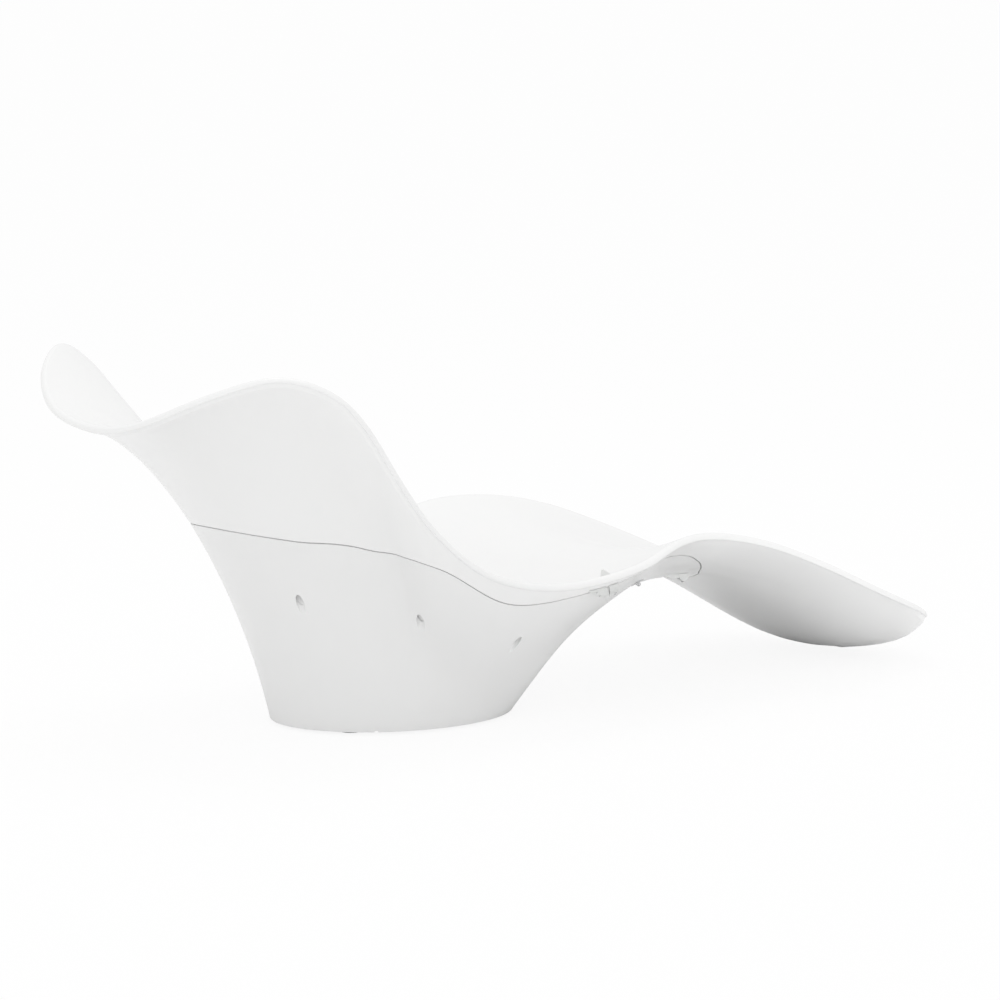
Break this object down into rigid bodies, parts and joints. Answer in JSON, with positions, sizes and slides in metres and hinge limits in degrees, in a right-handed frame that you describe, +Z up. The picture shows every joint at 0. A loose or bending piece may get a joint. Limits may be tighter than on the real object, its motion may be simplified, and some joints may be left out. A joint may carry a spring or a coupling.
{
  "type": "spa relaxation lounger",
  "caption": "Wave-shaped moulded spa lounger with a rolled edge, raised head wings and a closed foot end, on a flared oval pedestal with levelling feet.",
  "frame": {"origin": "on the floor, at the middle of the overall length and width", "axes": "+X to the foot end, +Y to the sitter's left, +Z up"},
  "size_m": [2.0514, 0.85, 0.7623],
  "materials": {
    "shell_white": "satin gelcoat white",
    "pedestal_white": "satin gelcoat white",
    "fitting_white": "matt off-white",
    "gasket_rubber": "matt grey",
    "pad_rubber": "matt black",
    "coated_steel": "grey powder coat",
    "stainless": "brushed stainless"
  },
  "bodies": {
    "lounger": {"lying_shell": "shell_white", "outer_shell": "shell_white", "base_shell": "pedestal_white", "seam_gasket": "gasket_rubber", "pocket_cups": "pedestal_white", "base_plate": "coated_steel", "frame_posts": "coated_steel", "side_rails": "coated_steel", "cross_members": "coated_steel", "knee_arms": "coated_steel", "back_struts": "coated_steel", "seat_pads": "pad_rubber", "knee_pads": "pad_rubber", "back_pads": "pad_rubber", "foot_inserts": "stainless", "foot_locknuts": "stainless", "edge_brackets": "fitting_white", "edge_wedges": "fitting_white", "bracket_pins": "stainless", "side_screws": "stainless", "knee_bolts": "stainless", "knee_straps": "stainless", "tongue_brackets": "fitting_white", "tongue_bolts": "stainless", "screw_lugs": "fitting_white"},
    "foot_1": {"foot_stem_1": "stainless", "foot_pad_1": "pad_rubber"},
    "foot_2": {"foot_stem_2": "stainless", "foot_pad_2": "pad_rubber"},
    "foot_3": {"foot_stem_3": "stainless", "foot_pad_3": "pad_rubber"},
    "foot_4": {"foot_stem_4": "stainless", "foot_pad_4": "pad_rubber"}
  },
  "joints": [
    {"name": "foot_1_level", "type": "slide", "parent": "lounger", "child": "foot_1", "axis": [0, 0, -1], "range_m": [0, 0.01]},
    {"name": "foot_2_level", "type": "slide", "parent": "lounger", "child": "foot_2", "axis": [0, 0, -1], "range_m": [0, 0.01]},
    {"name": "foot_3_level", "type": "slide", "parent": "lounger", "child": "foot_3", "axis": [0, 0, -1], "range_m": [0, 0.01]},
    {"name": "foot_4_level", "type": "slide", "parent": "lounger", "child": "foot_4", "axis": [0, 0, -1], "range_m": [0, 0.01]}
  ]
}
